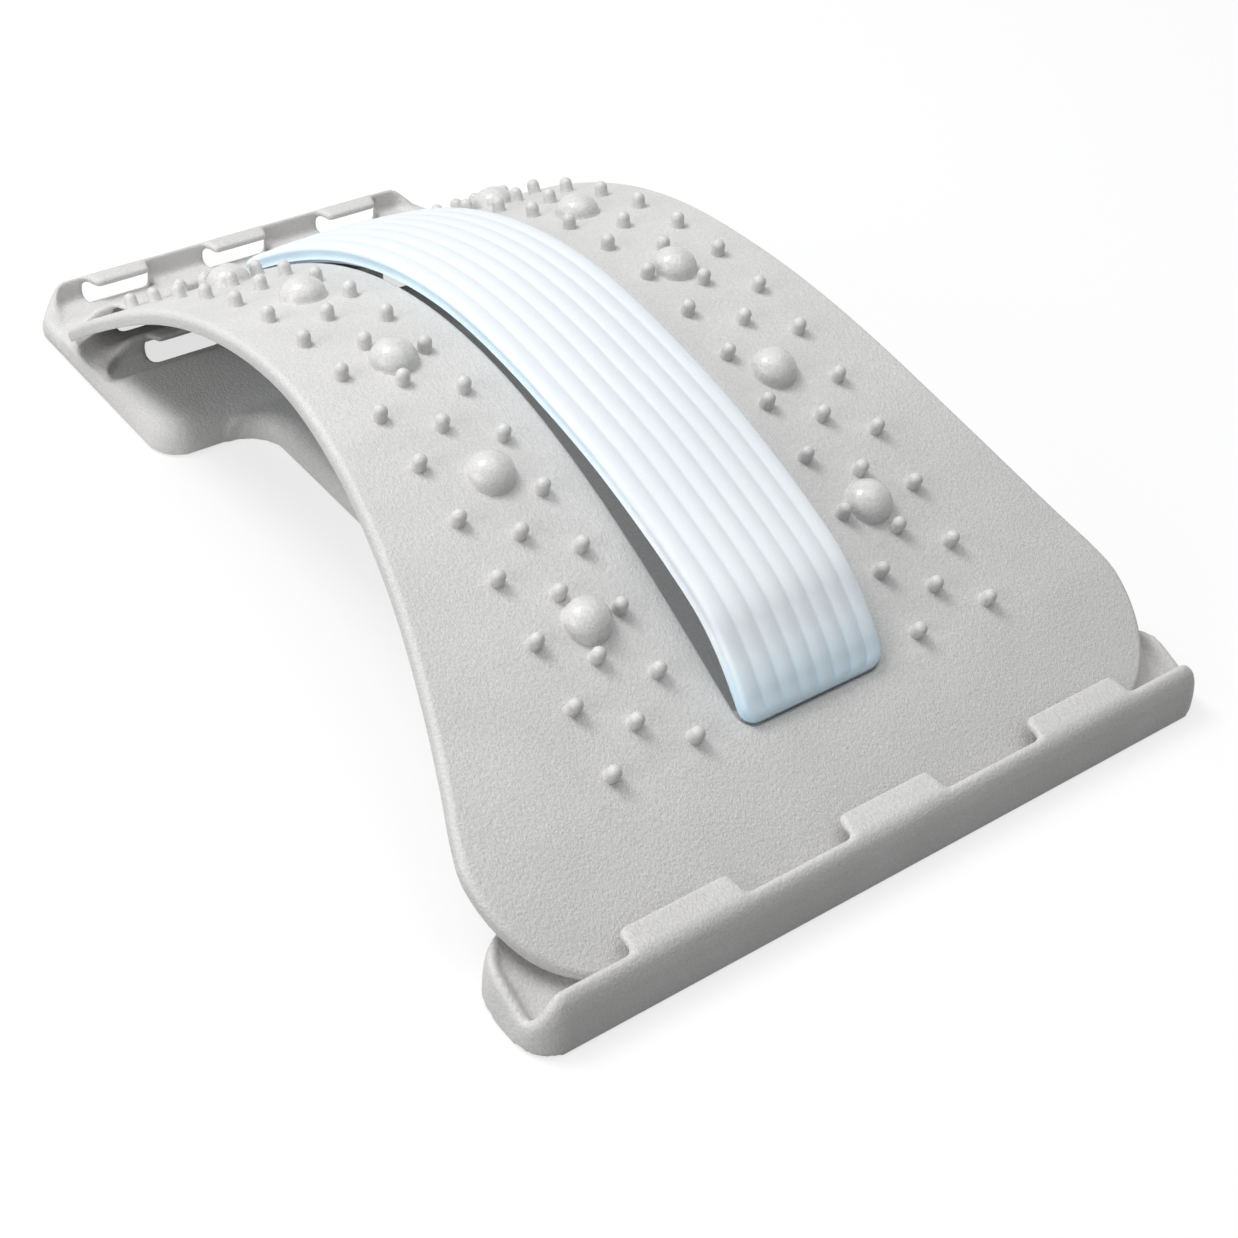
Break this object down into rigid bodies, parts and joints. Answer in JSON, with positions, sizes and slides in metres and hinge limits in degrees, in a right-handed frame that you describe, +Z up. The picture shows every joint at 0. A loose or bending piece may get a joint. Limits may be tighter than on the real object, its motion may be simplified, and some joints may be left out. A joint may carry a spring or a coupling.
{
  "type": "back stretcher",
  "caption": "Arched lumbar stretcher: a plate with massage points and a soft ribbed spine strip, sprung into a flat base with a wide near tray and a stepped far tray",
  "frame": {"origin": "on the ground, at the middle of the bounding box's footprint", "axes": "+Z is up, +Y runs from the wide near tray to the stepped far tray, +X is to the right when looking along +Y"},
  "size_m": [0.25, 0.3719, 0.0895],
  "materials": {
    "shell_plastic": "warm light grey moulding with a fine satin grain",
    "plate_plastic": "warm light grey moulding with a fine satin grain, smoother on the domes",
    "soft_foam": "soft pale blue-white foam, ribbed lengthwise",
    "backing_plastic": "plain pale sheet",
    "magnet_ferrite": "dark sintered ferrite",
    "plug_plastic": "plain grey plug"
  },
  "bodies": {
    "stretcher": {"base": "shell_plastic", "arch_plate": "plate_plastic", "magnet_01": "magnet_ferrite", "magnet_02": "magnet_ferrite", "magnet_03": "magnet_ferrite", "magnet_04": "magnet_ferrite", "magnet_05": "magnet_ferrite", "magnet_06": "magnet_ferrite", "magnet_07": "magnet_ferrite", "magnet_08": "magnet_ferrite", "magnet_09": "magnet_ferrite", "magnet_10": "magnet_ferrite", "magnet_plug_01": "plug_plastic", "magnet_plug_02": "plug_plastic", "magnet_plug_03": "plug_plastic", "magnet_plug_04": "plug_plastic", "magnet_plug_05": "plug_plastic", "magnet_plug_06": "plug_plastic", "magnet_plug_07": "plug_plastic", "magnet_plug_08": "plug_plastic", "magnet_plug_09": "plug_plastic", "magnet_plug_10": "plug_plastic"},
    "spine_strip": {"spine_pad": "soft_foam", "pad_backing": "backing_plastic"}
  },
  "joints": [
    {"name": "strip_lift", "type": "slide", "parent": "stretcher", "child": "spine_strip", "axis": [0, 0, 1], "range_m": [0, 0.05]}
  ]
}
